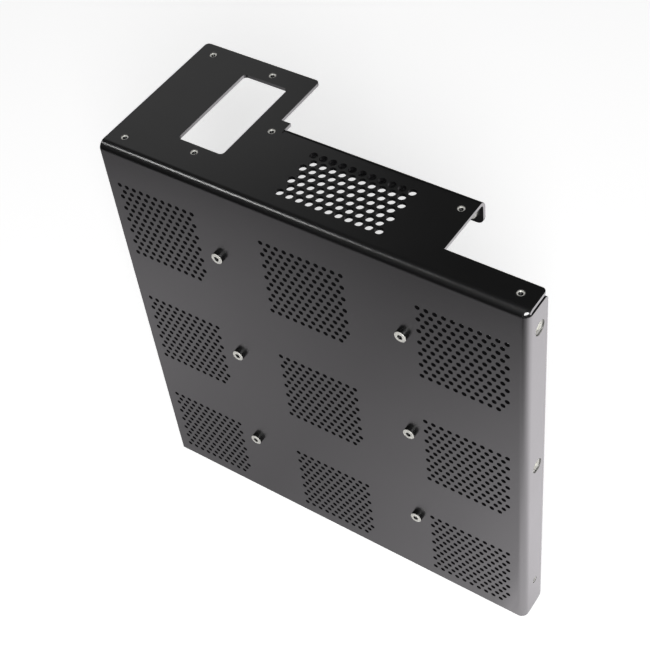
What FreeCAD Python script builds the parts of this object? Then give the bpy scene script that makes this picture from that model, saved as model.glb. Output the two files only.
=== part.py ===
import FreeCAD, Part
import math
import os
import Sketcher

# A folded sheet-metal chassis panel: one perforated sheet with a top flange, a right-hand
# side flange and a rear lip, and the clinch standoffs and clinch nuts pressed into it.
# Frame: X runs along the panel, Y runs back from its outer face, Z is up.
# The origin is the outer bottom left corner of the panel.

SIZES = {
    # folded sheet
    "panel_width": 259.5,
    "panel_height": 268.5,
    "sheet_thickness": 2.0,
    "bend_inner_radius": 2.5,
    "corner_radius": 2.5,
    # top flange: three depths behind the panel's outer face
    "left_depth": 98.0,
    "left_width": 77.9,
    "middle_depth": 58.0,
    "middle_right": 204.0,
    "right_depth": 18.5,
    "shoulder_depth": 61.1,
    "shoulder_width": 6.0,
    "relief_width": 1.0,
    "relief_overrun": 0.8,
    # window in the left part of the top flange
    "window_left": 36.4,
    "window_front": 23.25,
    "window_width": 29.6,
    "window_length": 60.95,
    "window_radius": 2.5,
    # side flange, and the relief where its bend meets the top bend
    "side_depth": 19.5,
    "corner_relief_radius": 1.9,
    "corner_relief_inset": 1.4,
    # rear lip, with a notch between its long part and its tab
    "lip_drop": 16.0,
    "lip_right_end": 158.8,
    "lip_notch_land": 2.0,
    "tab_width": 14.0,
    "tab_radius": 4.0,
    # perforation of the panel
    "panel_hole_diameter": 3.0,
    "panel_hole_pitch": 5.0,
    "patch_left": 7.85,
    "patch_top": 241.5,
    "patch_pitch_across": 95.25,
    "patch_pitch_down": 90.15,
    # perforation of the top flange
    "vent_hole_diameter": 4.7,
    "vent_hole_pitch": 6.0,
    "vent_left": 109.5,
    "vent_front": 14.2,
    # clinch standoffs on the panel
    "standoff_left": 72.0,
    "standoff_bottom": 57.0,
    "standoff_pitch_across": 116.5,
    "standoff_pitch_up": 80.0,
    "standoff_diameter": 7.0,
    "standoff_length": 3.0,
    "standoff_head_flats": 8.0,
    "standoff_head_height": 1.0,
    # thread cores and lead-in chamfer
    "small_thread_core": 2.5,
    "large_thread_core": 5.0,
    "lead_in": 0.3,
    # small and large clinch nuts
    "small_nut_hole": 4.25,
    "small_nut_diameter": 6.35,
    "small_nut_height": 1.5,
    "large_nut_hole": 8.75,
    "large_nut_diameter": 11.0,
    "large_nut_height": 4.0,
    "shank_recess": 0.3,
    # nut places on the top flange (x, y)
    "left_nut_x": 9.9,
    "inner_nut_x": 51.3,
    "front_nut_y": 10.4,
    "inner_front_nut_y": 18.2,
    "back_nut_y": 90.2,
    "shoulder_nut_x": 78.4,
    "shoulder_nut_y": 51.1,
    "notch_nut_x": 197.0,
    "notch_nut_y": 46.6,
    "right_nut_x": 249.9,
    # nut places on the side flange (y, z) and on the rear tab (x, drop)
    "side_nut_y": 11.8,
    "upper_side_nut_z": 248.0,
    "lower_side_nut_z": 138.8,
    "bottom_side_nut_z": 26.7,
    "tab_nut_drop": 10.5,
}

PATCH_COLUMNS = 3
PATCH_ROWS = 3
PANEL_HOLE_ROWS = 13
PANEL_HOLES_ACROSS = 11
VENT_HOLE_ROWS = 7
VENT_HOLES_ACROSS = 11
STANDOFF_COLUMNS = 2
STANDOFF_ROWS = 3
PUNCH_OVERRUN = 1.0

# Derived lengths, written with the sheet's own names.
OUTER_RADIUS = "(Sizes.sheet_thickness + Sizes.bend_inner_radius)"
BEND_X = f"(Sizes.panel_width - {OUTER_RADIUS})"
BEND_Z = f"(Sizes.panel_height - {OUTER_RADIUS})"
UNDERSIDE_Z = "(Sizes.panel_height - Sizes.sheet_thickness)"
SHOULDER_RIGHT = "(Sizes.left_width + Sizes.shoulder_width)"
LIP_LEFT = f"({SHOULDER_RIGHT} + Sizes.relief_width)"
LIP_BEND_Y = f"(Sizes.middle_depth - {OUTER_RADIUS})"
LIP_INNER_Y = "(Sizes.middle_depth - Sizes.sheet_thickness)"
LIP_BOTTOM_Z = "(Sizes.panel_height - Sizes.lip_drop)"
TAB_LEFT = "(Sizes.middle_right - Sizes.tab_width)"
TAB_NUT_X = "(Sizes.middle_right - Sizes.tab_width / 2)"
TAB_NUT_Z = "(Sizes.panel_height - Sizes.tab_nut_drop)"
SIDE_INNER_X = "(Sizes.panel_width - Sizes.sheet_thickness)"

doc = FreeCAD.newDocument("SheetMetalChassis")
sheet = doc.addObject("Spreadsheet::Sheet", "Sizes")
for row, (alias, size) in enumerate(SIZES.items(), start=1):
    sheet.set(f"A{row}", alias)
    sheet.set(f"B{row}", str(size))
    sheet.setAlias(f"B{row}", alias)
doc.recompute()


def value(expression):
    """The number that an expression in the sheet's names gives now."""
    result = sheet.evalExpression(expression)
    return float(getattr(result, "Value", result))


def origin_plane(body, role):
    return next(plane for plane in body.Origin.OriginFeatures if plane.Role == role)


def new_sketch(body, name, role, offset=None):
    """A sketch on one of the body's origin planes, moved along that plane's normal."""
    sketch = body.newObject("Sketcher::SketchObject", name)
    sketch.AttachmentSupport = [(origin_plane(body, role), "")]
    sketch.MapMode = "FlatFace"
    if offset:
        sketch.setExpression("AttachmentOffset.Base.z", offset)
    return sketch


def hold_point(sketch, geometry, point, across, along):
    """Hold one point of the sketch at two expressions from the sketch's origin."""
    for kind, expression in (("DistanceX", across), ("DistanceY", along)):
        number = sketch.addConstraint(
            Sketcher.Constraint(kind, -1, 1, geometry, point, value(expression)))
        sketch.setExpression(f"Constraints[{number}]", expression)


def add_polygon(sketch, corners):
    """A closed outline whose corners are pairs of expressions."""
    points = [FreeCAD.Vector(value(across), value(along), 0) for across, along in corners]
    first = sketch.GeometryCount
    count = len(points)
    for index in range(count):
        sketch.addGeometry(Part.LineSegment(points[index], points[(index + 1) % count]))
    for index in range(count):
        following = first + (index + 1) % count
        sketch.addConstraint(Sketcher.Constraint("Coincident", first + index, 2, following, 1))
    for index, (across, along) in enumerate(corners):
        hold_point(sketch, first + index, 1, across, along)


def add_rectangle(sketch, left, bottom, right, top):
    add_polygon(sketch, [(left, bottom), (right, bottom), (right, top), (left, top)])


def add_circle(sketch, across, along, diameter):
    centre = FreeCAD.Vector(value(across), value(along), 0)
    radius = value(diameter) / 2
    circle = sketch.addGeometry(Part.Circle(centre, FreeCAD.Vector(0, 0, 1), radius))
    hold_point(sketch, circle, 3, across, along)
    number = sketch.addConstraint(Sketcher.Constraint("Diameter", circle, 2 * radius))
    sketch.setExpression(f"Constraints[{number}]", diameter)


def add_arch(sketch, across, foot, spring, radius):
    """A half circle on two legs that stand on a level foot."""
    legs = (f"{across} + {radius}", f"{across} - {radius}")
    right, left = (value(leg) for leg in legs)
    low, high = value(foot), value(spring)
    centre = FreeCAD.Vector(value(across), high, 0)
    circle = Part.Circle(centre, FreeCAD.Vector(0, 0, 1), value(radius))
    crown = sketch.addGeometry(Part.ArcOfCircle(circle, 0, math.pi))
    points = [(right, high), (right, low), (left, low), (left, high)]
    points = [FreeCAD.Vector(x, y, 0) for x, y in points]
    leg_down, base, leg_up = (
        sketch.addGeometry(Part.LineSegment(start, end))
        for start, end in zip(points, points[1:]))
    joins = [(crown, 1, leg_down, 1), (leg_down, 2, base, 1),
             (base, 2, leg_up, 1), (leg_up, 2, crown, 2)]
    for join in joins:
        sketch.addConstraint(Sketcher.Constraint("Coincident", *join))
    hold_point(sketch, crown, 1, legs[0], spring)
    hold_point(sketch, crown, 2, legs[1], spring)
    hold_point(sketch, base, 1, legs[0], foot)
    hold_point(sketch, base, 2, legs[1], foot)
    centre_height = sketch.addConstraint(
        Sketcher.Constraint("DistanceY", -1, 1, crown, 3, high))
    sketch.setExpression(f"Constraints[{centre_height}]", spring)


def add_quarter_bend(sketch, centre_across, centre_along, start_degrees):
    """The section of a right-angle bend: a quarter of a ring about the bend's centre."""
    centre = FreeCAD.Vector(value(centre_across), value(centre_along), 0)
    start = math.radians(start_degrees)
    end = start + math.pi / 2
    axis = FreeCAD.Vector(0, 0, 1)
    arcs = []
    for radius in (OUTER_RADIUS, "Sizes.bend_inner_radius"):
        circle = Part.Circle(centre, axis, value(radius))
        arc = sketch.addGeometry(Part.ArcOfCircle(circle, start, end))
        number = sketch.addConstraint(Sketcher.Constraint("Radius", arc, value(radius)))
        sketch.setExpression(f"Constraints[{number}]", radius)
        arcs.append(arc)
    outer, inner = arcs
    hold_point(sketch, outer, 3, centre_across, centre_along)
    sketch.addConstraint(Sketcher.Constraint("Coincident", inner, 3, outer, 3))
    for end_point in (1, 2):
        line = sketch.addGeometry(Part.LineSegment(
            sketch.getPoint(outer, end_point), sketch.getPoint(inner, end_point)))
        sketch.addConstraint(Sketcher.Constraint("Coincident", line, 1, outer, end_point))
        sketch.addConstraint(Sketcher.Constraint("Coincident", line, 2, inner, end_point))
        level = (start_degrees + 90 * (end_point - 1)) % 180 == 0
        sketch.addConstraint(Sketcher.Constraint("Horizontal" if level else "Vertical", line))


def add_pad(body, sketch, name, length, backwards=False):
    pad = body.newObject("PartDesign::Pad", name)
    pad.Profile = sketch
    pad.setExpression("Length", length)
    pad.Reversed = backwards
    doc.recompute()
    return pad


def add_pocket(body, sketch, name, length, backwards=False):
    """A pocket that is checked to have taken material away."""
    before = body.Shape.Volume
    pocket = body.newObject("PartDesign::Pocket", name)
    pocket.Profile = sketch
    pocket.setExpression("Length", length)
    pocket.Reversed = backwards
    doc.recompute()
    if body.Shape.Volume >= before:
        raise RuntimeError(f"{name} cuts nothing")
    return pocket


def edges_through(shape, points):
    """Names of the straight edges whose middles lie at the given points."""
    names = []
    for point in points:
        for index, edge in enumerate(shape.Edges, start=1):
            straight = isinstance(edge.Curve, Part.Line)
            if straight and edge.CenterOfMass.distanceToPoint(point) < 1e-3:
                names.append(f"Edge{index}")
    if len(names) != len(points):
        raise RuntimeError("an edge to be rounded is missing")
    return names


def add_rounding(body, name, radius, points):
    base = body.Tip
    rounding = body.newObject("PartDesign::Fillet", name)
    rounding.Base = (base, edges_through(base.Shape, points))
    rounding.setExpression("Radius", radius)
    doc.recompute()


def build_flats_and_bends(body):
    """The panel, its two flanges and the rear lip, flat by flat and bend by bend."""
    thickness = "Sizes.sheet_thickness"

    panel = new_sketch(body, "PanelOutline", "XZ_Plane")
    add_rectangle(panel, "0", "0", BEND_X, BEND_Z)
    add_pad(body, panel, "PanelFlat", thickness, backwards=True)

    top_bend = new_sketch(body, "TopBendSection", "YZ_Plane")
    add_quarter_bend(top_bend, OUTER_RADIUS, BEND_Z, 90)
    add_pad(body, top_bend, "TopBend", "Sizes.panel_width")

    top = new_sketch(body, "TopOutline", "XY_Plane", UNDERSIDE_Z)
    relief_front = f"({LIP_BEND_Y} - Sizes.relief_overrun)"
    add_polygon(top, [
        ("0", OUTER_RADIUS),
        ("Sizes.panel_width", OUTER_RADIUS),
        ("Sizes.panel_width", "Sizes.right_depth"),
        ("Sizes.middle_right", "Sizes.right_depth"),
        ("Sizes.middle_right", LIP_BEND_Y),
        (LIP_LEFT, LIP_BEND_Y),
        (LIP_LEFT, relief_front),
        (SHOULDER_RIGHT, relief_front),
        (SHOULDER_RIGHT, "Sizes.shoulder_depth"),
        ("Sizes.left_width", "Sizes.shoulder_depth"),
        ("Sizes.left_width", "Sizes.left_depth"),
        ("0", "Sizes.left_depth"),
    ])
    add_pad(body, top, "TopFlat", thickness)

    side_bend = new_sketch(body, "SideBendSection", "XY_Plane")
    add_quarter_bend(side_bend, BEND_X, OUTER_RADIUS, 270)
    add_pad(body, side_bend, "SideBend", BEND_Z)

    side = new_sketch(body, "SideOutline", "YZ_Plane", SIDE_INNER_X)
    add_rectangle(side, OUTER_RADIUS, "0", "Sizes.side_depth", BEND_Z)
    add_pad(body, side, "SideFlat", thickness)

    lip_bend = new_sketch(body, "LipBendSection", "YZ_Plane", LIP_LEFT)
    add_quarter_bend(lip_bend, LIP_BEND_Y, BEND_Z, 0)
    add_pad(body, lip_bend, "LipBend", f"Sizes.middle_right - {LIP_LEFT}")

    lip = new_sketch(body, "LipOutline", "XZ_Plane", f"-{LIP_INNER_Y}")
    notch_top = f"({BEND_Z} - Sizes.lip_notch_land)"
    add_polygon(lip, [
        (LIP_LEFT, LIP_BOTTOM_Z),
        ("Sizes.lip_right_end", LIP_BOTTOM_Z),
        ("Sizes.lip_right_end", notch_top),
        (TAB_LEFT, notch_top),
        (TAB_LEFT, LIP_BOTTOM_Z),
        ("Sizes.middle_right", LIP_BOTTOM_Z),
        ("Sizes.middle_right", BEND_Z),
        (LIP_LEFT, BEND_Z),
    ])
    add_pad(body, lip, "LipFlat", thickness, backwards=True)


def round_corners(body):
    """Rounded free corners of the flanges and of the rear lip."""
    half = value("Sizes.sheet_thickness") / 2
    width = value("Sizes.panel_width")
    top_z = value("Sizes.panel_height") - half
    left_depth = value("Sizes.left_depth")
    side_x = width - half
    side_y = value("Sizes.side_depth")
    add_rounding(body, "FlangeCorners", "Sizes.corner_radius", [
        FreeCAD.Vector(0, left_depth, top_z),
        FreeCAD.Vector(value("Sizes.left_width"), left_depth, top_z),
        FreeCAD.Vector(width, value("Sizes.right_depth"), top_z),
        FreeCAD.Vector(side_x, side_y, value(BEND_Z)),
        FreeCAD.Vector(side_x, side_y, 0),
    ])
    lip_y = value("Sizes.middle_depth") - half
    lip_z = value(LIP_BOTTOM_Z)
    lip_ends = (LIP_LEFT, "Sizes.lip_right_end", TAB_LEFT, "Sizes.middle_right")
    add_rounding(body, "LipCorners", "Sizes.tab_radius",
                 [FreeCAD.Vector(value(end), lip_y, lip_z) for end in lip_ends])


def cut_openings(body):
    """The window, the corner relief and the holes that the clinch parts are pressed into."""
    thickness = "Sizes.sheet_thickness"

    window = new_sketch(body, "WindowOutline", "XY_Plane", UNDERSIDE_Z)
    window_right = "Sizes.window_left + Sizes.window_width"
    window_back = "Sizes.window_front + Sizes.window_length"
    add_rectangle(window, "Sizes.window_left", "Sizes.window_front", window_right, window_back)
    add_pocket(body, window, "Window", thickness, backwards=True)
    middle_z = value("Sizes.panel_height") - value(thickness) / 2
    corners = [FreeCAD.Vector(value(x), value(y), middle_z)
               for x in ("Sizes.window_left", window_right)
               for y in ("Sizes.window_front", window_back)]
    add_rounding(body, "WindowCorners", "Sizes.window_radius", corners)

    relief_radius = "Sizes.corner_relief_radius"
    relief_x = "(Sizes.panel_width - Sizes.corner_relief_inset)"
    relief_z = f"({BEND_Z} + {relief_radius})"
    relief = new_sketch(body, "ReliefOutline", "XZ_Plane")
    add_arch(relief, relief_x, BEND_Z, relief_z, relief_radius)
    add_pocket(body, relief, "CornerRelief", OUTER_RADIUS)

    top_holes = new_sketch(body, "TopNutHoles", "XY_Plane", UNDERSIDE_Z)
    for across, along in top_nut_places():
        add_circle(top_holes, across, along, "Sizes.small_nut_hole")
    add_pocket(body, top_holes, "TopNutPunching", thickness, backwards=True)

    tab_hole = new_sketch(body, "TabNutHole", "XZ_Plane", f"-{LIP_INNER_Y}")
    add_circle(tab_hole, TAB_NUT_X, TAB_NUT_Z, "Sizes.small_nut_hole")
    add_pocket(body, tab_hole, "TabNutPunching", thickness)

    side_holes = new_sketch(body, "SideNutHoles", "YZ_Plane", SIDE_INNER_X)
    for along, up, size in side_nut_places():
        add_circle(side_holes, along, up, f"Sizes.{size}_nut_hole")
    add_pocket(body, side_holes, "SideNutPunching", thickness, backwards=True)

    barrel_holes = new_sketch(body, "StandoffHoles", "XZ_Plane")
    head_seats = new_sketch(body, "StandoffHeadSeats", "XZ_Plane", f"-{thickness}")
    for across, up in standoff_places():
        add_circle(barrel_holes, across, up, "Sizes.standoff_diameter")
        add_polygon(head_seats, hexagon("Sizes.standoff_head_flats", across, up))
    add_pocket(body, barrel_holes, "StandoffPunching", thickness)
    add_pocket(body, head_seats, "StandoffSeating", "Sizes.standoff_head_height", backwards=True)


def hexagon(flats, across, along):
    """Corners of a hexagon with one pair of flats level, as expressions about a point."""
    return [(f"{across} + {flats} / cos(30) / 2 * cos({60 * step})",
             f"{along} + {flats} / cos(30) / 2 * sin({60 * step})") for step in range(6)]


def top_nut_places():
    """The small nuts of the top flange, from the left front corner to the right end."""
    return [
        ("Sizes.left_nut_x", "Sizes.front_nut_y"),
        ("Sizes.inner_nut_x", "Sizes.inner_front_nut_y"),
        ("Sizes.left_nut_x", "Sizes.back_nut_y"),
        ("Sizes.inner_nut_x", "Sizes.back_nut_y"),
        ("Sizes.shoulder_nut_x", "Sizes.shoulder_nut_y"),
        ("Sizes.notch_nut_x", "Sizes.notch_nut_y"),
        ("Sizes.right_nut_x", "Sizes.front_nut_y"),
    ]


def side_nut_places():
    """The nuts of the side flange: two large ones and a small one near the bottom."""
    return [
        ("Sizes.side_nut_y", "Sizes.upper_side_nut_z", "large"),
        ("Sizes.side_nut_y", "Sizes.lower_side_nut_z", "large"),
        ("Sizes.side_nut_y", "Sizes.bottom_side_nut_z", "small"),
    ]


def standoff_places():
    """The grid of standoffs on the panel, row by row from the bottom."""
    return [(f"Sizes.standoff_left + {column} * Sizes.standoff_pitch_across",
             f"Sizes.standoff_bottom + {row} * Sizes.standoff_pitch_up")
            for row in range(STANDOFF_ROWS) for column in range(STANDOFF_COLUMNS)]


def staggered_grid(rows, holes_across, pitch):
    """Offsets (across, down) of a staggered grid: every second row is one hole shorter."""
    row_pitch = pitch * math.sqrt(3) / 2
    grid = []
    for row in range(rows):
        short = row % 2
        for hole in range(holes_across - short):
            grid.append(((hole + short / 2) * pitch, row * row_pitch))
    return grid


def make_punches():
    """One cylinder for each hole of the nine panel patches and of the top vent."""
    length = value("Sizes.sheet_thickness") + 2 * PUNCH_OVERRUN
    panel_radius = value("Sizes.panel_hole_diameter") / 2
    vent_radius = value("Sizes.vent_hole_diameter") / 2
    # the last hole of each patch is left out
    patch = staggered_grid(PANEL_HOLE_ROWS, PANEL_HOLES_ACROSS, value("Sizes.panel_hole_pitch"))
    patch = patch[:-1]
    vent = staggered_grid(VENT_HOLE_ROWS, VENT_HOLES_ACROSS, value("Sizes.vent_hole_pitch"))
    backward = FreeCAD.Vector(0, 1, 0)
    upward = FreeCAD.Vector(0, 0, 1)
    cylinders = []
    for column in range(PATCH_COLUMNS):
        for row in range(PATCH_ROWS):
            left = value("Sizes.patch_left") + column * value("Sizes.patch_pitch_across")
            top = value("Sizes.patch_top") - row * value("Sizes.patch_pitch_down")
            for across, down in patch:
                start = FreeCAD.Vector(left + across, -PUNCH_OVERRUN, top - down)
                cylinders.append(Part.makeCylinder(panel_radius, length, start, backward))
    bottom = value(UNDERSIDE_Z) - PUNCH_OVERRUN
    for across, back in vent:
        start = FreeCAD.Vector(value("Sizes.vent_left") + across,
                               value("Sizes.vent_front") + back, bottom)
        cylinders.append(Part.makeCylinder(vent_radius, length, start, upward))
    punches = doc.addObject("Part::Feature", "PerforationPunches")
    punches.Shape = Part.makeCompound(cylinders)
    return punches


def make_chassis_sheet():
    body = doc.addObject("PartDesign::Body", "FoldedSheet")
    build_flats_and_bends(body)
    round_corners(body)
    cut_openings(body)
    perforated = doc.addObject("Part::Cut", "PerforatedSheet")
    perforated.Base = body
    perforated.Tool = make_punches()
    perforated.Label = "chassis_sheet"
    return perforated


def make_clinch_nut(label, size, place):
    """A round clinch nut about its own Z: its shank points up into the sheet's hole."""
    core = f"Sizes.{size}_thread_core / 2"
    body_radius = f"Sizes.{size}_nut_diameter / 2"
    shank_radius = f"Sizes.{size}_nut_hole / 2"
    height = f"Sizes.{size}_nut_height"
    shank_top = "Sizes.sheet_thickness - Sizes.shank_recess"
    nut = doc.addObject("PartDesign::Body", label)
    nut.Label = label
    section = new_sketch(nut, "NutSection", "XZ_Plane")
    add_polygon(section, [
        (core, f"Sizes.lead_in - {height}"),
        (f"{core} + Sizes.lead_in", f"-{height}"),
        (f"{body_radius} - Sizes.lead_in", f"-{height}"),
        (body_radius, f"Sizes.lead_in - {height}"),
        (body_radius, "0"),
        (shank_radius, "0"),
        (shank_radius, shank_top),
        (f"{core} + Sizes.lead_in", shank_top),
        (core, f"{shank_top} - Sizes.lead_in"),
    ])
    turning = nut.newObject("PartDesign::Revolution", "NutTurning")
    turning.Profile = section
    turning.ReferenceAxis = (section, ["V_Axis"])
    turning.Angle = 360
    nut.Placement = place
    doc.recompute()
    return nut


def make_standoff(label, place):
    """A clinch standoff about its own Z: hexagonal head in the sheet, barrel pointing up."""
    head_height = "Sizes.standoff_head_height"
    barrel_top = "Sizes.sheet_thickness + Sizes.standoff_length"
    barrel_radius = "Sizes.standoff_diameter / 2"
    core = "Sizes.small_thread_core / 2"
    standoff = doc.addObject("PartDesign::Body", label)
    standoff.Label = label
    head = new_sketch(standoff, "HeadOutline", "XY_Plane")
    add_polygon(head, hexagon("Sizes.standoff_head_flats", "0", "0"))
    add_pad(standoff, head, "Head", head_height)
    section = new_sketch(standoff, "BarrelSection", "XZ_Plane")
    add_polygon(section, [
        ("0", head_height),
        (barrel_radius, head_height),
        (barrel_radius, f"{barrel_top} - Sizes.lead_in"),
        (f"{barrel_radius} - Sizes.lead_in", barrel_top),
        ("0", barrel_top),
    ])
    barrel = standoff.newObject("PartDesign::Revolution", "Barrel")
    barrel.Profile = section
    barrel.ReferenceAxis = (section, ["V_Axis"])
    barrel.Angle = 360
    doc.recompute()
    bore = new_sketch(standoff, "BoreSection", "XZ_Plane")
    add_polygon(bore, [
        ("0", "0"),
        (f"{core} + Sizes.lead_in", "0"),
        (core, "Sizes.lead_in"),
        (core, f"{barrel_top} - Sizes.lead_in"),
        (f"{core} + Sizes.lead_in", barrel_top),
        ("0", barrel_top),
    ])
    groove = standoff.newObject("PartDesign::Groove", "Bore")
    groove.Profile = bore
    groove.ReferenceAxis = (bore, ["V_Axis"])
    groove.Angle = 360
    standoff.Placement = place
    doc.recompute()
    return standoff


def place_at(x, y, z, rotation):
    return FreeCAD.Placement(FreeCAD.Vector(value(x), value(y), value(z)), rotation)


def make_fasteners():
    upright = FreeCAD.Rotation()
    facing_right = FreeCAD.Rotation(FreeCAD.Vector(0, 0, 1), FreeCAD.Vector(1, 0, 0))
    facing_back = FreeCAD.Rotation(FreeCAD.Vector(0, 0, 1), FreeCAD.Vector(0, 1, 0))
    facing_front = FreeCAD.Rotation(FreeCAD.Vector(0, 0, 1), FreeCAD.Vector(0, -1, 0))
    parts = []
    for number, (across, along) in enumerate(top_nut_places(), start=1):
        place = place_at(across, along, UNDERSIDE_Z, upright)
        parts.append(make_clinch_nut(f"top_nut_{number}", "small", place))
    tab_place = place_at(TAB_NUT_X, LIP_INNER_Y, TAB_NUT_Z, facing_back)
    parts.append(make_clinch_nut("tab_nut", "small", tab_place))
    for number, (along, up, size) in enumerate(side_nut_places(), start=1):
        place = place_at(SIDE_INNER_X, along, up, facing_right)
        parts.append(make_clinch_nut(f"side_nut_{number}_{size}", size, place))
    for number, (across, up) in enumerate(standoff_places(), start=1):
        place = place_at(across, "Sizes.sheet_thickness", up, facing_front)
        parts.append(make_standoff(f"standoff_{number}", place))
    return parts


parts = [make_chassis_sheet()] + make_fasteners()
doc.recompute()

for item in doc.Objects:
    if "Invalid" in item.State or "Error" in item.State:
        raise RuntimeError(f"{item.Label} did not build: {item.State}")
for part in parts:
    if part.Shape.isNull() or not part.Shape.isValid() or len(part.Shape.Solids) != 1:
        raise RuntimeError(f"{part.Label} is not one valid solid")

os.makedirs("parts", exist_ok=True)
for part in parts:
    part.Shape.exportStep(os.path.join("parts", f"{part.Label}.step"))
    print(f"{part.Label}: {part.Shape.Volume:.1f} mm3")
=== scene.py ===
import bpy
import bmesh
import math
from mathutils import Matrix, Vector


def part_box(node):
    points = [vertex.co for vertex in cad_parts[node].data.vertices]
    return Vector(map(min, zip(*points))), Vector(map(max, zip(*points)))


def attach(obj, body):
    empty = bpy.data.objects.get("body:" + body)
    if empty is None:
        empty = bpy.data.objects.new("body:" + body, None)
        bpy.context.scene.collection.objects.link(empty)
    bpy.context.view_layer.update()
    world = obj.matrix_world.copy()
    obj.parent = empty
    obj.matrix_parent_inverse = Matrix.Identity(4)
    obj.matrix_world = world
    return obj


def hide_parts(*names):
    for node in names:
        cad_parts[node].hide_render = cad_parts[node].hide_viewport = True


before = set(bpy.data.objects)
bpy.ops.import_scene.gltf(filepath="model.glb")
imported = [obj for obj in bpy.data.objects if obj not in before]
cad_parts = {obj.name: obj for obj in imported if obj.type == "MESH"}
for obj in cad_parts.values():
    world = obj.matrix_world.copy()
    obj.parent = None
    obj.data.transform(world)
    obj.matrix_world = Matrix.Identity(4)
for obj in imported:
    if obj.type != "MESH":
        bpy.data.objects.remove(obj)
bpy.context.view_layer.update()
sheetLow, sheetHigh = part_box("chassis_sheet")
mm = 0.001  # lengths below are in millimetres, where a note doesn't say metres


def newObject(name, data):
    piece = bpy.data.objects.new(name, data)
    bpy.context.scene.collection.objects.link(piece)
    return piece


print("stage: camera")

cameraSizes = {
    "place": (0.46721, -0.39183, 0.75392),  # metres, in the frame of the part
    "right": (0.82632, 0.55474, -0.09729),
    "up": (-0.35935, 0.65231, 0.66735),
    "sensor": 36, "focal": 78.88,  # millimetres
}

cameraData = bpy.data.cameras.new("camera")
cameraData.sensor_fit = "HORIZONTAL"
cameraData.sensor_width = cameraSizes["sensor"]
cameraData.lens = cameraSizes["focal"]
cameraData.clip_end = 50
camera = newObject("camera", cameraData)
cameraRight = Vector(cameraSizes["right"]).normalized()
cameraBack = cameraRight.cross(Vector(cameraSizes["up"])).normalized()
cameraUp = cameraBack.cross(cameraRight)
cameraTurn = Matrix((cameraRight, cameraUp, cameraBack)).transposed().to_4x4()
camera.matrix_world = Matrix.Translation(cameraSizes["place"]) @ cameraTurn
bpy.context.scene.camera = camera
bpy.context.scene.view_settings.view_transform = "Standard"


def toLinear(hexColour):
    channels = [int(hexColour[i:i + 2], 16) / 255 for i in (1, 3, 5)]
    return [c / 12.92 if c <= 0.04045 else ((c + 0.055) / 1.055) ** 2.4 for c in channels] + [1.0]


def addNode(tree, kind, inputs=None, **settings):
    node = tree.nodes.new(kind)
    for name, setting in settings.items():
        setattr(node, name, setting)
    for socket, value in (inputs or {}).items():
        if isinstance(value, bpy.types.NodeSocket):
            tree.links.new(value, node.inputs[socket])
        else:
            node.inputs[socket].default_value = value
    return node


def layOut(tree, across=220, down=240):
    # columns from left to right, each node one column after the last node that feeds it
    column = {node: 0 for node in tree.nodes}
    for _ in tree.nodes:
        for link in tree.links:
            column[link.to_node] = max(column[link.to_node], column[link.from_node] + 1)
    filled = {}
    for node in tree.nodes:
        row = filled.get(column[node], 0)
        node.location = (column[node] * across, -row * down)
        filled[column[node]] = row + 1


def toPlainMesh(piece):
    # the modifiers' result becomes the mesh, and the modifiers go
    evaluated = piece.evaluated_get(bpy.context.evaluated_depsgraph_get())
    mesh = bpy.data.meshes.new_from_object(evaluated)
    mesh.name = piece.name
    piece.modifiers.clear()
    piece.data = mesh


def addGeometryNodes(piece, tree, values):
    modifier = piece.modifiers.new(tree.name, "NODES")
    modifier.node_group = tree
    for socket in tree.interface.items_tree:
        if socket.item_type == "SOCKET" and socket.in_out == "INPUT" and socket.name in values:
            modifier[socket.identifier] = values[socket.name]


def newTree(name, sockets):
    # a Geometry Nodes tree with these inputs beside its geometry, each as name and kind of socket
    tree = bpy.data.node_groups.new(name, "GeometryNodeTree")
    tree.interface.new_socket("Geometry", in_out="INPUT", socket_type="NodeSocketGeometry")
    for socketName, kind in sockets.items():
        tree.interface.new_socket(socketName, in_out="INPUT", socket_type="NodeSocket" + kind)
    tree.interface.new_socket("Geometry", in_out="OUTPUT", socket_type="NodeSocketGeometry")
    return tree


print("stage: materials")

noiseSpan = (0.3, 0.7)  # most of a noise's values lie between these

coatLook = {
    "black": "#101011",
    "blackHigh": "#161617",
    "grain": 0.35,  # width of the coat's fine texture
    "grainHeight": 0.008, "grainBump": 0.35,
    "ripple": 9.0,  # width of its slow waves
    "rippleHeight": 0.02, "rippleBump": 0.10,
    "cloud": 60.0,  # width of the patches that differ in roughness
    "roughness": (0.28, 0.34),
    "coatRoughness": 0.25,
    "gloss": 2.75,  # index of refraction, high for a bright sheen on black
    "glossInside": 1.2,  # in the punched holes the coat is thin and dull
}


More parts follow.
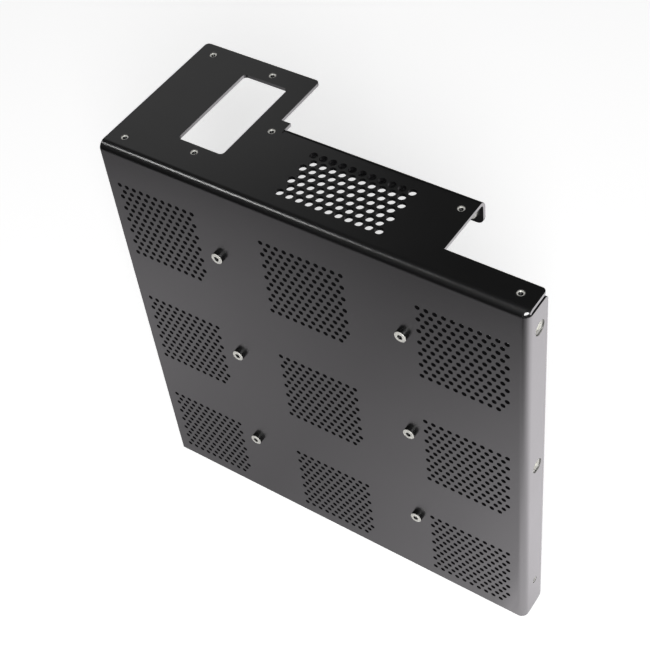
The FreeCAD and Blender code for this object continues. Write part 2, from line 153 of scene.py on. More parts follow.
def makePowderCoat(look):
    # satin black powder coat, sprayed and baked: nearly black, seen mostly by its soft gloss
    material = bpy.data.materials.new("satinBlackPowderCoat")
    material.use_nodes = True
    tree = material.node_tree
    tree.nodes.clear()
    place = addNode(tree, "ShaderNodeTexCoord").outputs["Object"]
    grain = addNode(tree, "ShaderNodeTexNoise", {
        "Vector": place, "Scale": 1 / (look["grain"] * mm), "Detail": 2.0, "Roughness": 0.5})
    ripple = addNode(tree, "ShaderNodeTexNoise", {
        "Vector": place, "Scale": 1 / (look["ripple"] * mm), "Detail": 1.0, "Roughness": 0.4})
    cloud = addNode(tree, "ShaderNodeTexNoise", {
        "Vector": place, "Scale": 1 / (look["cloud"] * mm), "Detail": 3.0, "Roughness": 0.6})
    colour = addNode(tree, "ShaderNodeMix", {
        "Factor": grain.outputs["Fac"], "A": toLinear(look["black"]),
        "B": toLinear(look["blackHigh"])}, data_type="RGBA")
    roughness = addNode(tree, "ShaderNodeMapRange", {
        "Value": cloud.outputs["Fac"], "From Min": noiseSpan[0], "From Max": noiseSpan[1],
        "To Min": look["roughness"][0], "To Max": look["roughness"][1]})
    waves = addNode(tree, "ShaderNodeBump", {
        "Height": ripple.outputs["Fac"], "Strength": look["rippleBump"],
        "Distance": look["rippleHeight"] * mm})
    fine = addNode(tree, "ShaderNodeBump", {
        "Height": grain.outputs["Fac"], "Strength": look["grainBump"],
        "Distance": look["grainHeight"] * mm, "Normal": waves.outputs["Normal"]})
    inside = addNode(tree, "ShaderNodeAttribute", attribute_name="insideHole").outputs["Fac"]
    gloss = addNode(tree, "ShaderNodeMapRange", {
        "Value": inside, "To Min": look["gloss"], "To Max": look["glossInside"]})
    coatWeight = addNode(tree, "ShaderNodeMath", {0: 1.0, 1: inside}, operation="SUBTRACT")
    shader = addNode(tree, "ShaderNodeBsdfPrincipled", {
        "Base Color": colour.outputs["Result"], "Roughness": roughness.outputs["Result"],
        "IOR": gloss.outputs["Result"], "Coat Weight": coatWeight.outputs[0],
        "Coat Roughness": look["coatRoughness"], "Coat IOR": look["gloss"],
        "Normal": fine.outputs["Normal"], "Coat Normal": fine.outputs["Normal"]})
    addNode(tree, "ShaderNodeOutputMaterial", {"Surface": shader.outputs["BSDF"]})
    layOut(tree)
    return material


zincLook = {
    "zinc": "#f8f7f2",
    "zincDull": "#ecebe3",
    "turning": 0.12,  # width of the turning marks
    "turningHeight": 0.01, "turningBump": 0.4,
    "bloom": 2.5,  # width of the duller patches
    "roughness": (0.42, 0.55),
    "metallic": 0.3,
    # painted shade: this black on barrels and in fine threads stands in for their dark reflections
    # and the shade in the bores
    "coat": "#070708",  # the sheet's black on barrels and in fine threads
}


def makeZincPlate(look):
    # turned steel, zinc plated: bright, slightly warm, its gleam softened by fine turning marks.
    # Where the piece is marked as coated it is black like the sheet: painted shade on the barrels
    # and inside the fine threads.
    material = bpy.data.materials.new("brightZincPlatedSteel")
    material.use_nodes = True
    tree = material.node_tree
    tree.nodes.clear()
    place = addNode(tree, "ShaderNodeTexCoord").outputs["Object"]
    marks = addNode(tree, "ShaderNodeTexNoise", {
        "Vector": place, "Scale": 1 / (look["turning"] * mm), "Detail": 2.0})
    bloom = addNode(tree, "ShaderNodeTexNoise", {
        "Vector": place, "Scale": 1 / (look["bloom"] * mm), "Detail": 2.0})
    colour = addNode(tree, "ShaderNodeMix", {
        "Factor": bloom.outputs["Fac"], "A": toLinear(look["zinc"]),
        "B": toLinear(look["zincDull"])}, data_type="RGBA")
    # faces marked coated take the black painted shade
    coated = addNode(tree, "ShaderNodeAttribute", attribute_name="coated").outputs["Fac"]
    zincOrPaintedShade = addNode(tree, "ShaderNodeMix", {
        "Factor": coated, "A": colour.outputs["Result"], "B": toLinear(look["coat"])},
        data_type="RGBA")
    metal = addNode(tree, "ShaderNodeMapRange", {
        "Value": coated, "To Min": look["metallic"], "To Max": 0.0})
    roughness = addNode(tree, "ShaderNodeMapRange", {
        "Value": bloom.outputs["Fac"], "From Min": noiseSpan[0], "From Max": noiseSpan[1],
        "To Min": look["roughness"][0], "To Max": look["roughness"][1]})
    bump = addNode(tree, "ShaderNodeBump", {
        "Height": marks.outputs["Fac"], "Strength": look["turningBump"],
        "Distance": look["turningHeight"] * mm})
    shader = addNode(tree, "ShaderNodeBsdfPrincipled", {
        "Base Color": zincOrPaintedShade.outputs["Result"], "Metallic": metal.outputs["Result"],
        "Roughness": roughness.outputs["Result"], "Normal": bump.outputs["Normal"]})
    addNode(tree, "ShaderNodeOutputMaterial", {"Surface": shader.outputs["BSDF"]})
    layOut(tree)
    return material


powderCoat = makePowderCoat(coatLook)
zincPlate = makeZincPlate(zincLook)


print("stage: blank of the chassis sheet")

sheet = {
    "thickness": 2.0,
    "bendRadius": 4.5,  # outside of every bend
    "bendSteps": 12,
    "cornerRadius": 2.5,
    "leftDepth": 98.0, "leftWidth": 77.9,
    "shoulderDepth": 61.1, "shoulderWidth": 6.0,
    "middleDepth": 58.0, "middleRight": 204.0,
    "rightDepth": 18.5, "sideDepth": 19.5,
    "slitWidth": 1.0, "slitOverrun": 0.8,
    "reliefRadius": 1.9, "reliefInset": 1.4,  # the small notch where the two bends meet
    "lipDrop": 16.0, "lipRight": 158.8, "lipLand": 2.0, "tabWidth": 14.0, "tabRadius": 4.0,
    "window": (36.4, 23.25, 29.6, 60.95), "windowRadius": 2.5,  # left, front, width, length
    "smallNutHole": 4.25, "largeNutHole": 8.75, "standoffHole": 7.0,
    "edgeRound": 0.12,
    "innerRound": 0.7,  # the outline's edges on the inner side
    "sharpAngle": 40,  # degrees between faces from which an edge is rounded
    "flatMargin": 0.4,  # strip beside a bend that keeps the flats flat
}
tight = 1e-4  # points closer than this are one point
arcSteps = {"corner": 6, "relief": 12, "hole": 36}
panelHoles = {
    "across": 11, "rows": 13, "pitch": 5.0, "diameter": 3.0, "sides": 12,
    "lastLeftOut": True,  # the lowest row ends one hole early
    "left": 7.85, "top": 241.5,
    "patches": (3, 3), "patchSteps": (95.25, 90.15),
}
ventHoles = {
    "across": 11, "rows": 7, "pitch": 6.0, "diameter": 4.7, "sides": 16,
    "lastLeftOut": False,
    "left": 109.5, "front": 14.2,  # behind the panel's face
    "patches": (1, 1), "patchSteps": (0.0, 0.0),
}

width = sheetHigh.x / mm
height = sheetHigh.z / mm
radius = sheet["bendRadius"]
arc = radius * math.pi / 2  # length of sheet in one bend, measured on its outside
bendAcross = width - radius
bendUp = height - radius
lipFold = sheet["middleDepth"] - radius


def topRow(back):
    # height in the blank of a line that ends up this far behind the panel's face
    return bendUp + arc - radius + back


def sideColumn(back):
    # the same across the blank
    return bendAcross + arc - radius + back


def roundedOutline(corners):
    # corners as (across, up, radius), each replaced by an arc where its radius isn't zero
    points = []
    for index, (x, y, size) in enumerate(corners):
        here = Vector((x, y))
        if not size:
            points.append(here)
            continue
        before = (Vector(corners[index - 1][:2]) - here).normalized()
        after = (Vector(corners[(index + 1) % len(corners)][:2]) - here).normalized()
        centre = here + (before + after) * size  # every corner here is square
        start = here + before * size - centre
        sweep = start.angle_signed(here + after * size - centre)
        for step in range(arcSteps["corner"] + 1):
            points.append(centre + Matrix.Rotation(-sweep * step / arcSteps["corner"], 2) @ start)
    return points


def arcPoints(centre, size, start, end, steps):
    # start and end in degrees
    points = []
    for step in range(steps + 1):
        angle = math.radians(start + (end - start) * step / steps)
        points.append((centre[0] + size * math.cos(angle), centre[1] + size * math.sin(angle)))
    return points


def reliefOutline():
    # a straight foot at the side bend, then an arc on the top bend that is round once folded
    size = sheet["reliefRadius"]
    centre = (width - sheet["reliefInset"], bendUp + size)
    outline = [(centre[0] - size, bendUp, 0)]
    for x, y in arcPoints(centre, size, 180, 42, arcSteps["relief"]):
        outline.append((min(x, width), bendUp + radius * math.asin((y - bendUp) / radius), 0))
    return outline


def blankOutline():
    corner, tab = sheet["cornerRadius"], sheet["tabRadius"]
    sideEnd = sideColumn(sheet["sideDepth"])
    lipTip = topRow(lipFold) + arc + bendUp - (height - sheet["lipDrop"])
    tabLeft = sheet["middleRight"] - sheet["tabWidth"]
    shoulder = sheet["leftWidth"] + sheet["shoulderWidth"]
    lipLeft = shoulder + sheet["slitWidth"]
    notchTop = topRow(lipFold) + arc + sheet["lipLand"]
    return roundedOutline([
        (0, 0, 0), (sideEnd, 0, corner), (sideEnd, bendUp, corner), *reliefOutline(),
        (width, topRow(sheet["rightDepth"]), corner),
        (sheet["middleRight"], topRow(sheet["rightDepth"]), 0),
        (sheet["middleRight"], lipTip, tab), (tabLeft, lipTip, tab),
        (tabLeft, notchTop, 0), (sheet["lipRight"], notchTop, 0),
        (sheet["lipRight"], lipTip, tab), (lipLeft, lipTip, tab),
        (lipLeft, topRow(lipFold - sheet["slitOverrun"]), 0),
        (shoulder, topRow(lipFold - sheet["slitOverrun"]), 0),
        (shoulder, topRow(sheet["shoulderDepth"]), 0),
        (sheet["leftWidth"], topRow(sheet["shoulderDepth"]), 0),
        (sheet["leftWidth"], topRow(sheet["leftDepth"]), corner),
        (0, topRow(sheet["leftDepth"]), corner)])


def middleOf(node):
    low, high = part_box(node)
    return (low + high) / (2 * mm)


topNuts = [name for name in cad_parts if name.startswith("top_nut")]
sideNuts = [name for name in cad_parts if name.startswith("side_nut")]
standoffs = [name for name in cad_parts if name.startswith("standoff")]


def fastenerHoles():
    # centre in the blank and diameter of each hole that a nut or standoff is pressed into
    holes = []
    for name in topNuts:
        place = middleOf(name)
        holes.append((place.x, topRow(place.y), sheet["smallNutHole"]))
    for name in sideNuts:
        place = middleOf(name)
        size = sheet["largeNutHole"] if name.endswith("large") else sheet["smallNutHole"]
        holes.append((sideColumn(place.y), place.z, size))
    for name in standoffs:
        place = middleOf(name)
        holes.append((place.x, place.z, sheet["standoffHole"]))
    place = middleOf("tab_nut")
    holes.append((place.x, topRow(lipFold) + arc + bendUp - place.z, sheet["smallNutHole"]))
    return holes


def makeOutlineCurve():
    curve = bpy.data.curves.new("blankOutline", "CURVE")
    curve.dimensions = "3D"
    left, front, across, back = sheet["window"]
    windowCorners = [(left, topRow(front)), (left + across, topRow(front)),
                     (left + across, topRow(front + back)), (left, topRow(front + back))]
    loops = [blankOutline(),
             roundedOutline([(x, y, sheet["windowRadius"]) for x, y in windowCorners])]
    for x, y, size in fastenerHoles():
        ring = arcPoints((x, y), size / 2, 0, 360, arcSteps["hole"])
        loops.append(ring[:-1])
    for loop in loops:
        spline = curve.splines.new("POLY")
        spline.points.add(len(loop) - 1)
        for point, place in zip(spline.points, loop):
            point.co = (place[0], place[1], 0, 1)
        spline.use_cyclic_u = True
    return newObject("blankOutline", curve)


def makeOutlineTree():
    tree = newTree("Blank Outline", {"Outline": "Object"})
    given = addNode(tree, "NodeGroupInput").outputs
    curves = addNode(tree, "GeometryNodeObjectInfo", {"Object": given["Outline"]})
    addNode(tree, "NodeGroupOutput", {"Geometry": curves.outputs["Geometry"]})
    layOut(tree)
    return tree


def makeHoleTree():
    # a rectangular field of round holes, repeated over a grid of patches
    tree = newTree("Punched Holes", {
        "Holes Across": "Int", "Rows": "Int", "Field Width": "Float", "Field Height": "Float",
        "Left Out": "Int", "Radius": "Float", "Sides": "Int",
        "Patches Across": "Int", "Patches Up": "Int", "Grid Width": "Float", "Grid Height": "Float",
        "Centre": "Vector"})
    given = addNode(tree, "NodeGroupInput").outputs
    field = addNode(tree, "GeometryNodeMeshGrid", {
        "Size X": given["Field Width"], "Size Y": given["Field Height"],
        "Vertices X": given["Holes Across"], "Vertices Y": given["Rows"]})
    index = addNode(tree, "GeometryNodeInputIndex").outputs["Index"]
    leftOut = addNode(tree, "FunctionNodeCompare", {
        "A": index, "B": given["Left Out"]}, data_type="INT", operation="EQUAL")
    places = addNode(tree, "GeometryNodeDeleteGeometry", {
        "Geometry": field.outputs["Mesh"], "Selection": leftOut.outputs["Result"]}, domain="POINT")
    circle = addNode(tree, "GeometryNodeCurvePrimitiveCircle", {
        "Resolution": given["Sides"], "Radius": given["Radius"]})
    patch = addNode(tree, "GeometryNodeInstanceOnPoints", {
        "Points": places.outputs[0], "Instance": circle.outputs["Curve"]})
    grid = addNode(tree, "GeometryNodeMeshGrid", {
        "Size X": given["Grid Width"], "Size Y": given["Grid Height"],
        "Vertices X": given["Patches Across"], "Vertices Y": given["Patches Up"]})
    patches = addNode(tree, "GeometryNodeInstanceOnPoints", {
        "Points": grid.outputs["Mesh"], "Instance": patch.outputs["Instances"]})
    moved = addNode(tree, "GeometryNodeTransform", {
        "Geometry": patches.outputs["Instances"], "Translation": given["Centre"]})
    holes = addNode(tree, "GeometryNodeRealizeInstances", {"Geometry": moved.outputs[0]})
    joined = addNode(tree, "GeometryNodeJoinGeometry")
    tree.links.new(given["Geometry"], joined.inputs[0])
    tree.links.new(holes.outputs[0], joined.inputs[0])
    addNode(tree, "NodeGroupOutput", {"Geometry": joined.outputs[0]})
    layOut(tree)
    return tree


def punchHoles(piece, tree, holes, top):
    # a staggered pattern is two plain fields: full rows, and rows between with one hole less
    rowStep = holes["pitch"] * math.sqrt(3) / 2
    patchesAcross, patchesUp = holes["patches"]
    gridWidth = (patchesAcross - 1) * holes["patchSteps"][0]
    gridHeight = (patchesUp - 1) * holes["patchSteps"][1]
    fieldWidth = (holes["across"] - 1) * holes["pitch"]
    fieldHeight = (holes["rows"] - 1) * rowStep
    centre = (holes["left"] + (fieldWidth + gridWidth) / 2, top - (fieldHeight + gridHeight) / 2, 0)
    for shorter in (0, 1):
        across = holes["across"] - shorter
        rows = (holes["rows"] + 1) // 2 - shorter
        lastHole = (across - 1) * rows if holes["lastLeftOut"] and not shorter else -1
        addGeometryNodes(piece, tree, {
            "Holes Across": across, "Rows": rows, "Left Out": lastHole,
            "Field Width": (across - 1) * holes["pitch"], "Field Height": (rows - 1) * 2 * rowStep,
            "Radius": holes["diameter"] / 2, "Sides": holes["sides"],
            "Patches Across": patchesAcross, "Patches Up": patchesUp,
            "Grid Width": gridWidth, "Grid Height": gridHeight, "Centre": centre})


def makeBlankTree():
    # the sheet between the outline and all the holes
    tree = newTree("Cut Blank", {"Material": "Material"})
    given = addNode(tree, "NodeGroupInput").outputs
    filled = addNode(tree, "GeometryNodeFillCurve", {0: given["Geometry"]})
    realized = addNode(tree, "GeometryNodeRealizeInstances", {"Geometry": filled.outputs[0]})
    coated = addNode(tree, "GeometryNodeSetMaterial", {
        "Geometry": realized.outputs[0], "Material": given["Material"]})
    addNode(tree, "NodeGroupOutput", {"Geometry": coated.outputs[0]})
    layOut(tree)
    return tree


outlineCurve = makeOutlineCurve()
holeTree = makeHoleTree()
chassisSheet = newObject("chassisSheet", bpy.data.meshes.new("chassisSheet"))
addGeometryNodes(chassisSheet, makeOutlineTree(), {"Outline": outlineCurve})
punchHoles(chassisSheet, holeTree, panelHoles, panelHoles["top"])
ventRows = (ventHoles["rows"] - 1) * ventHoles["pitch"] * math.sqrt(3) / 2
punchHoles(chassisSheet, holeTree, ventHoles, topRow(ventHoles["front"]) + ventRows)
addGeometryNodes(chassisSheet, makeBlankTree(), {"Material": powderCoat})
toPlainMesh(chassisSheet)
bpy.data.objects.remove(outlineCurve)
print("blank:", len(chassisSheet.data.polygons), "faces")


print("stage: folding the sheet")


def foldedPlace(x, y, depth):
    # where a point of the blank ends up, this deep below the sheet's outer face
    size = radius - depth
    topStart, lipStart = bendUp + arc, topRow(lipFold)
    lipLeft = sheet["leftWidth"] + sheet["shoulderWidth"] + sheet["slitWidth"] / 2
    if x > bendAcross and y < bendUp + tight * 10:  # side bend and side flange
        angle = min((x - bendAcross) / radius, math.pi / 2)
        back = max(x - bendAcross - arc, 0)
        return Vector((bendAcross + size * math.sin(angle),
                       radius - size * math.cos(angle) + back, y))
    if y <= topStart:  # panel and top bend
        angle = max(y - bendUp, 0) / radius
        return Vector((x, radius - size * math.cos(angle), min(y, bendUp) + size * math.sin(angle)))
    if y > lipStart and x > lipLeft:  # rear lip and tab
        angle = min((y - lipStart) / radius, math.pi / 2)
        down = max(y - lipStart - arc, 0)
        return Vector((x, lipFold + size * math.sin(angle), bendUp + size * math.cos(angle) - down))
    return Vector((x, radius + y - topStart, height - depth))


def bendLines(start):
    # lines across one bend, with one more just outside each end that keeps the flats flat
    steps = sheet["bendSteps"]
    inside = [start + arc * step / steps for step in range(steps + 1)]
    return [start - sheet["flatMargin"]] + inside + [start + arc + sheet["flatMargin"]]


def splitAlong(blank, normal, distance, keep):
    # cuts the faces that cross a line, where keep allows it
    offset = Vector(normal) * distance
    crossed = []
    for face in blank.faces:
        sides = [(corner.co - offset).dot(Vector(normal)) for corner in face.verts]
        if min(sides) < -tight and max(sides) > tight and keep(face.calc_center_median()):
            crossed.append(face)
    edges = {edge for face in crossed for edge in face.edges}
    corners = {corner for face in crossed for corner in face.verts}
    bmesh.ops.bisect_plane(blank, geom=list(corners) + list(edges) + crossed,
                           dist=tight, plane_co=offset, plane_no=normal)


def holeRims(blank, most):
    # the open edges that close into a ring of at most this many: the punched round holes
    left = {edge for edge in blank.edges if len(edge.link_faces) == 1}
    found = set()
    while left:
        ring, ahead = set(), [left.pop()]
        while ahead:
            edge = ahead.pop()
            ring.add(edge)
            near = {other for vert in edge.verts for other in vert.link_edges} & left
            left -= near
            ahead.extend(near)
        if len(ring) <= most:
            found |= ring
    return found


def foldSheet(piece):
    # the flat blank becomes the bent sheet: two skins, and walls along every open edge
    blank = bmesh.new()
    blank.from_mesh(piece.data)
    bmesh.ops.remove_doubles(blank, verts=blank.verts, dist=tight)
    for line in bendLines(bendUp) + bendLines(topRow(lipFold)):
        splitAlong(blank, (0, 1, 0), line, lambda middle: middle.x < width)
    for line in bendLines(bendAcross):
        splitAlong(blank, (1, 0, 0), line, lambda middle: middle.y < bendUp)
    if sum(face.normal.z for face in blank.faces) < 0:
        bmesh.ops.reverse_faces(blank, faces=blank.faces)

    folded = bmesh.new()
    insideHole = folded.faces.layers.float.new("insideHole")
    weight = folded.edges.layers.float.new("bevel_weight_edge")
    depth = sheet["thickness"]
    outer = [folded.verts.new(foldedPlace(v.co.x, v.co.y, 0) * mm) for v in blank.verts]
    inner = [folded.verts.new(foldedPlace(v.co.x, v.co.y, depth) * mm) for v in blank.verts]
    rims = holeRims(blank, max(panelHoles["sides"], ventHoles["sides"]))
    softened = []  # the edges of the outline on the inner side
    blank.verts.index_update()
    for face in blank.faces:
        loop = [v.index for v in face.verts]
        folded.faces.new([outer[i] for i in loop])
        folded.faces.new([inner[i] for i in reversed(loop)])
    for edge in blank.edges:
        if len(edge.link_faces) == 1:
            corner = edge.link_loops[0]
            a, b = corner.vert.index, corner.link_loop_next.vert.index
            wall = folded.faces.new([outer[b], outer[a], inner[a], inner[b]])
            wall[insideHole] = float(edge in rims)
            if edge not in rims:
                softened.append(wall.edges[2])
    folded.normal_update()
    for edge in folded.edges:
        if edge.calc_face_angle(0) > math.radians(sheet["sharpAngle"]):
            edge[weight] = sheet["edgeRound"] / sheet["innerRound"]
    for edge in softened:
        edge[weight] = 1.0
    for face in folded.faces:
        face.smooth = True
    folded.to_mesh(piece.data)
    openEdges = sum(1 for edge in folded.edges if len(edge.link_faces) != 2)
    print("folded:", len(folded.faces), "faces,", openEdges, "open edges")
    blank.free()
    folded.free()


foldSheet(chassisSheet)
rounding = chassisSheet.modifiers.new("edges", "BEVEL")
rounding.width = sheet["innerRound"] * mm
rounding.segments = 1
rounding.limit_method = "WEIGHT"
rounding.harden_normals = True
toPlainMesh(chassisSheet)
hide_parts("chassis_sheet")
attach(chassisSheet, "root")
print("sheet:", sum(len(p.vertices) - 2 for p in chassisSheet.data.polygons), "triangles")


print("stage: nuts and standoffs")

smallNut = {
    "core": 1.25, "pitch": 0.5, "threadDepth": 0.24,
    "shank": 2.125, "shankLength": 1.7, "body": 3.175, "height": 1.5,
    "leadIn": 0.3, "edge": 0.1, "toothDepth": 0.10, "collar": 0.25, "recess": 0.0,
    # painted shade: the fine thread bore is marked coated so it renders black like shade, while the
    # large bores stay bright
    "bore": "coated", "mouth": "",  # the fine threads are dark inside, the large ones bright
}
largeNut = {
    "core": 2.5, "pitch": 1.0, "threadDepth": 0.5,
    "shank": 4.375, "shankLength": 1.7, "body": 5.5, "height": 4.0,
    "leadIn": 0.4, "edge": 0.15, "toothDepth": 0.16, "collar": 0.25, "recess": 0.5,
    "bore": "", "mouth": "",
}
pillar = {
    "core": 1.25, "pitch": 0.5, "threadDepth": 0.24,
    "barrel": 3.5, "length": 5.0, "headFlats": 8.0, "headHeight": 1.0,
    # painted shade: the barrel, the bore and its mouth are marked coated and render black
    "leadIn": 0.3, "edge": 0.15, "bore": "coated", "mouth": "coated",
    "proud": 0.03,  # keeps the head's face clear of the sheet's
}
turning = {
    "sides": 48, "ringsPerPitch": 6,
    "toothLength": 0.7, "toothRunOut": 0.1,
    "sharpAngle": 28,  # degrees between faces from which an edge is shaded as sharp
}


def boreRings(look, top, bottom):
    # from the top end of a threaded bore to its lower end, each ring as radius, height and form
    core, lead = look["core"], look["leadIn"]
    count = round((top - bottom - 2 * lead) / look["pitch"] * turning["ringsPerPitch"])
    step = (top - bottom - 2 * lead) / count
    thread = [(core, top - lead - step * ring, "thread") for ring in range(1, count)]
    return [(core + lead, top, look["mouth"]), (core, top - lead, look["bore"]), *thread,
            (core, bottom + lead, look["bore"]), (core + lead, bottom, "")]


def nutRings(look):
    # the shank ends at height 0, or lower by its recess, and the nut's body is below it
    shankEnd = -look["recess"]
    seat = -look["shankLength"]
    bottom = seat - look["height"]
    toothEnd = shankEnd - turning["toothLength"]
    shank, body, edge, lead = look["shank"], look["body"], look["edge"], look["leadIn"]
    return boreRings(look, shankEnd, bottom) + [
        (body - lead, bottom, ""), (body, bottom + lead, ""), (body, seat - edge, ""),
        (body - edge, seat, ""), (shank, seat, ""), (shank, toothEnd - turning["toothRunOut"], ""),
        (shank, toothEnd, "teeth"), (shank, shankEnd - edge, "teeth"),
        (shank - look["collar"], shankEnd, "")]


def pillarRings(look):
    # the barrel's end is at height 0 and the hexagonal head is below it
    bottom = -look["length"] - look["proud"]
    headTop = look["headHeight"] - look["length"]
    half, barrel, edge, lead = look["headFlats"] / 2, look["barrel"], look["edge"], look["leadIn"]
    # the barrel's coated rings carry the black painted shade
    return boreRings(look, 0.0, bottom) + [
        (half - edge, bottom, "hex"), (half, bottom + edge, "hex"), (half, headTop, "hex"),
        (barrel, headTop, "coated"), (barrel, -lead, "coated"), (barrel - lead, 0.0, "")]


def reachAt(look, ring, step):
    # how far a ring's point lies from the axis
    size, along, form = ring
    turn = step / turning["sides"]
    if form == "thread":  # climbs one pitch in a turn
        return size + look["threadDepth"] * (1 - abs(2 * ((along / look["pitch"] - turn) % 1) - 1))
    if form == "teeth" and step % 2:
        return size - look["toothDepth"]
    if form == "hex":
        return size / math.cos(math.radians(60 * ((turn * 6) % 1) - 30))
    return size


def turnedPiece(name, look, rings):
    # a closed ring of rings around the vertical axis
    sides = turning["sides"]
    turned = bmesh.new()
    grid = []
    for ring in rings:
        corners = []
        for step in range(sides):
            reach = reachAt(look, ring, step)
            angle = 2 * math.pi * step / sides
            place = Vector((reach * math.cos(angle), reach * math.sin(angle), ring[1])) * mm
            corners.append(turned.verts.new(place))
        grid.append(corners)
    # faces between coated rings get the black painted shade, and with a coated bore the thread does
    # too
    marks = turned.faces.layers.float.new("coated")
    paintedShadeForms = ("coated", "thread") if look["bore"] else ("coated",)
    paintedShadeRings = [form in paintedShadeForms for _, _, form in rings]
    for index, (ring, following) in enumerate(zip(grid, grid[1:] + grid[:1])):
        coated = paintedShadeRings[index] and paintedShadeRings[(index + 1) % len(paintedShadeRings)]
        for step in range(sides):
            after = (step + 1) % sides
            face = turned.faces.new([ring[step], ring[after], following[after], following[step]])
            face[marks] = float(coated)
    bmesh.ops.recalc_face_normals(turned, faces=turned.faces)
    for face in turned.faces:
        face.smooth = True
    mesh = bpy.data.meshes.new(name)
    turned.to_mesh(mesh)
    turned.free()
    mesh.set_sharp_from_angle(angle=math.radians(turning["sharpAngle"]))
    return newObject(name, mesh)


def makeFastenerTree():
    # one turned piece set on every point, with its own axis along the point's facing direction
    tree = newTree("Pressed Fasteners", {"Piece": "Object", "Material": "Material"})
    given = addNode(tree, "NodeGroupInput").outputs
    piece = addNode(tree, "GeometryNodeObjectInfo", {"Object": given["Piece"]})
    facing = addNode(tree, "GeometryNodeInputNamedAttribute", {"Name": "facing"},
                     data_type="FLOAT_VECTOR")
    turned = addNode(tree, "FunctionNodeAlignRotationToVector", {
        "Vector": facing.outputs["Attribute"]}, axis="Z")
    placed = addNode(tree, "GeometryNodeInstanceOnPoints", {
        "Points": given["Geometry"], "Instance": piece.outputs["Geometry"],
        "Rotation": turned.outputs["Rotation"]})
    realized = addNode(tree, "GeometryNodeRealizeInstances", {"Geometry": placed.outputs[0]})
    plated = addNode(tree, "GeometryNodeSetMaterial", {
        "Geometry": realized.outputs[0], "Material": given["Material"]})
    addNode(tree, "NodeGroupOutput", {"Geometry": plated.outputs[0]})
    layOut(tree)
    return tree


def outerEnd(node, facing):
    # the middle of the node's end face on the side it faces
    low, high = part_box(node)
    middle, half = (low + high) / 2, (high - low) / 2
    return middle + Vector([h * f for h, f in zip(half, facing)])


def pressIn(name, base, tree, places):
    # places: node name and the direction its outer end faces
    mesh = bpy.data.meshes.new(name)
    mesh.from_pydata([outerEnd(node, facing) for node, facing in places], [], [])
    directions = mesh.attributes.new("facing", "FLOAT_VECTOR", "POINT")
    for item, (_, facing) in zip(directions.data, places):
        item.vector = facing
    fasteners = newObject(name, mesh)
    addGeometryNodes(fasteners, tree, {"Piece": base, "Material": zincPlate})
    toPlainMesh(fasteners)
    bpy.data.objects.remove(base)
    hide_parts(*[node for node, _ in places])
    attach(fasteners, "root")
    print(name, len(fasteners.data.polygons), "faces")


up, right, back, front = (0, 0, 1), (1, 0, 0), (0, 1, 0), (0, -1, 0)
fastenerTree = makeFastenerTree()
smallPlaces = [(name, up) for name in topNuts] + [("tab_nut", back)] + [
    (name, right) for name in sideNuts if name.endswith("small")]
largePlaces = [(name, right) for name in sideNuts if name.endswith("large")]
pressIn("smallClinchNuts", turnedPiece("smallNut", smallNut, nutRings(smallNut)),
        fastenerTree, smallPlaces)
pressIn("largeClinchNuts", turnedPiece("largeNut", largeNut, nutRings(largeNut)),
        fastenerTree, largePlaces)
pressIn("clinchStandoffs", turnedPiece("pillar", pillar, pillarRings(pillar)),
        fastenerTree, [(name, front) for name in standoffs])


print("stage: studio")

studio = {
    "tableSize": 12.0,  # metres, like every length here
    "tableGap": 0.0002,  # keeps the table clear of the object's lower edges
    "tableColour": "#f2f2f2",
    # painted pool of light: the table's glow in reflections, across and back, brightest right of
    # the object
    "across": [
        (-0.50, 0.22), (-0.25, 0.29), (-0.11, 0.32), (-0.06, 0.30), (0.0, 0.26), (0.07, 0.235),
        (0.13, 0.28), (0.19, 0.35), (0.24, 0.48), (0.26, 1.0), (0.50, 1.0), (0.90, 0.10)],
    "back": [
        (-0.60, 0.0), (-0.25, 0.04), (-0.21, 0.58), (-0.14, 0.76), (-0.105, 0.88), (-0.05, 0.90),
        (0.0, 0.86), (0.03, 0.95), (0.06, 1.0), (0.45, 1.0), (0.90, 0.10)],
    # right of this place the painted pool falls off again to the front
    "besideFrom": 0.25,
    "beside": [(-0.30, 0.12), (-0.135, 0.42), (-0.07, 0.70), (0.0, 0.90), (0.03, 1.0), (0.50, 1.0)],
    # painted shade: the table is dark to reflections behind the panel
    "paintedShadeBehindPanel": (0.22, 0.01, 0.35),  # right end, front and back of the dark part behind the panel
    "paintedReflectionTint": (1.0, 0.965, 1.0, 1.0),  # the mirrored table is faintly violet
    "cameraShare": 0.54,  # how much of the table's white doesn't depend on the lamps
    "fill": 0.2,  # soft light from all round
    "mirroredRoom": 0.006,  # the room is nearly black in the gloss of the coat
    # place, size and radiance
    "softboxes": {
        "keySoftbox": ((1.45, -1.60, 1.75), (0.80, 0.80), 22.0),
        "leftSoftbox": ((-0.57, -0.53, 1.14), (0.26, 0.16), 3.5),
        "backSoftbox": ((-0.85, 0.82, 1.05), (0.70, 0.50), 0.11),
    },
}


def levelAlong(tree, source, stops):
    # a grey level that follows stops, each a distance in metres and a level
    first, last = stops[0][0], stops[-1][0]
    spread = addNode(tree, "ShaderNodeMapRange", {
        "Value": source, "From Min": first, "From Max": last})
    node = addNode(tree, "ShaderNodeValToRGB", {"Fac": spread.outputs["Result"]})
    ramp = node.color_ramp
    for position, _ in stops[1:-1]:
        ramp.elements.new((position - first) / (last - first))
    for element, (_, level) in zip(ramp.elements, stops):
        element.color = (level, level, level, 1)
    return node.outputs["Color"]


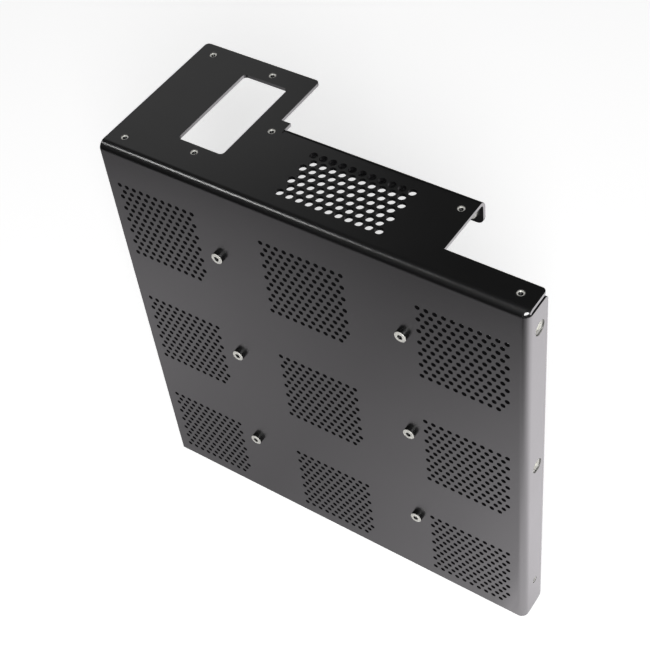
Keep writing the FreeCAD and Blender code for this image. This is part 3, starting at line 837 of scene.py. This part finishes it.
def makeFloorMaterial(look):
    # pale table top: white with the object's soft shadow for the camera; for reflections it glows,
    # though it is no lamp, with a painted pool of light and a painted shade behind the panel
    material = bpy.data.materials.new("paleTable")
    material.use_nodes = True
    tree = material.node_tree
    tree.nodes.clear()
    path = addNode(tree, "ShaderNodeLightPath").outputs
    place = addNode(tree, "ShaderNodeTexCoord").outputs["Object"]
    parts = addNode(tree, "ShaderNodeSeparateXYZ", {"Vector": place}).outputs
    # painted pool of light, seen only in reflections
    paintedPool = addNode(tree, "ShaderNodeMix", {
        "Factor": 1.0, "A": levelAlong(tree, parts["X"], look["across"]),
        "B": levelAlong(tree, parts["Y"], look["back"])}, data_type="RGBA", blend_type="MULTIPLY")
    beside = addNode(tree, "ShaderNodeMath", {
        0: parts["X"], 1: look["besideFrom"]}, operation="GREATER_THAN")
    paintedPoolFalloff = addNode(tree, "ShaderNodeMix", {
        "Factor": beside.outputs[0], "A": paintedPool.outputs["Result"],
        "B": levelAlong(tree, parts["Y"], look["beside"])}, data_type="RGBA", blend_type="MULTIPLY")
    paintedReflectionColour = addNode(tree, "ShaderNodeMix", {
        "Factor": 1.0, "A": paintedPoolFalloff.outputs["Result"], "B": look["paintedReflectionTint"]},
        data_type="RGBA", blend_type="MULTIPLY")
    # painted shade behind the panel, seen only in reflections
    shadeRight, shadeFront, shadeBack = look["paintedShadeBehindPanel"]
    leftOf = addNode(tree, "ShaderNodeMath", {0: parts["X"], 1: shadeRight}, operation="LESS_THAN")
    behind = addNode(tree, "ShaderNodeMath", {
        0: parts["Y"], 1: (shadeFront + shadeBack) / 2, 2: (shadeBack - shadeFront) / 2},
        operation="COMPARE")
    paintedShadeBehindPanel = addNode(tree, "ShaderNodeMath", {
        0: leftOf.outputs[0], 1: behind.outputs[0]}, operation="MULTIPLY")
    level = addNode(tree, "ShaderNodeMath", {0: 1.0, 1: paintedShadeBehindPanel.outputs[0]}, operation="SUBTRACT")
    seen = addNode(tree, "ShaderNodeMath", {
        0: path["Is Glossy Ray"], 1: path["Is Transmission Ray"]}, operation="MAXIMUM")
    forCamera = addNode(tree, "ShaderNodeMath", {
        0: path["Is Camera Ray"], 1: look["cameraShare"]}, operation="MULTIPLY")
    white = addNode(tree, "ShaderNodeEmission", {
        "Color": (1, 1, 1, 1), "Strength": forCamera.outputs[0]})
    lit = addNode(tree, "ShaderNodeBsdfDiffuse", {"Color": toLinear(look["tableColour"])})
    table = addNode(tree, "ShaderNodeAddShader", {0: lit.outputs[0], 1: white.outputs[0]})
    # painted reflection: for glossy and transmission rays the table glows with the painted pool and
    # painted shade
    paintedReflection = addNode(tree, "ShaderNodeEmission", {
        "Color": paintedReflectionColour.outputs["Result"], "Strength": level.outputs[0]})
    both = addNode(tree, "ShaderNodeMixShader", {
        0: seen.outputs[0], 1: table.outputs[0], 2: paintedReflection.outputs[0]})
    addNode(tree, "ShaderNodeOutputMaterial", {"Surface": both.outputs[0]})
    layOut(tree)
    return material


def makeFloor():
    half = studio["tableSize"] / 2
    mesh = bpy.data.meshes.new("table")
    corners = [(-half, -half), (half, -half), (half, half), (-half, half)]
    mesh.from_pydata([(x, y, -studio["tableGap"]) for x, y in corners], [], [(0, 1, 2, 3)])
    mesh.materials.append(makeFloorMaterial(studio))
    table = newObject("table", mesh)


def addSoftbox(name, place, size, radiance, target):
    light = bpy.data.lights.new(name, "AREA")
    light.shape = "RECTANGLE"
    light.size, light.size_y = size
    light.energy = radiance * math.pi * size[0] * size[1]
    lamp = newObject(name, light)
    lamp.location = place
    lamp.rotation_euler = (target - Vector(place)).to_track_quat("-Z", "Y").to_euler()


def makeWorld():
    world = bpy.data.worlds.new("studio")
    bpy.context.scene.world = world
    world.use_nodes = True
    tree = world.node_tree
    tree.nodes.clear()
    path = addNode(tree, "ShaderNodeLightPath").outputs
    fill = addNode(tree, "ShaderNodeMath", {
        0: path["Is Diffuse Ray"], 1: studio["fill"], 2: studio["mirroredRoom"]},
        operation="MULTIPLY_ADD")
    level = addNode(tree, "ShaderNodeMath", {
        0: path["Is Camera Ray"], 1: fill.outputs[0]}, operation="MAXIMUM")
    background = addNode(tree, "ShaderNodeBackground", {
        "Color": (1, 1, 1, 1), "Strength": level.outputs[0]})
    addNode(tree, "ShaderNodeOutputWorld", {"Surface": background.outputs[0]})
    layOut(tree)


makeFloor()
makeWorld()
for name, (place, size, radiance) in studio["softboxes"].items():
    addSoftbox(name, place, size, radiance, (sheetLow + sheetHigh) / 2)

print("stage: finished")
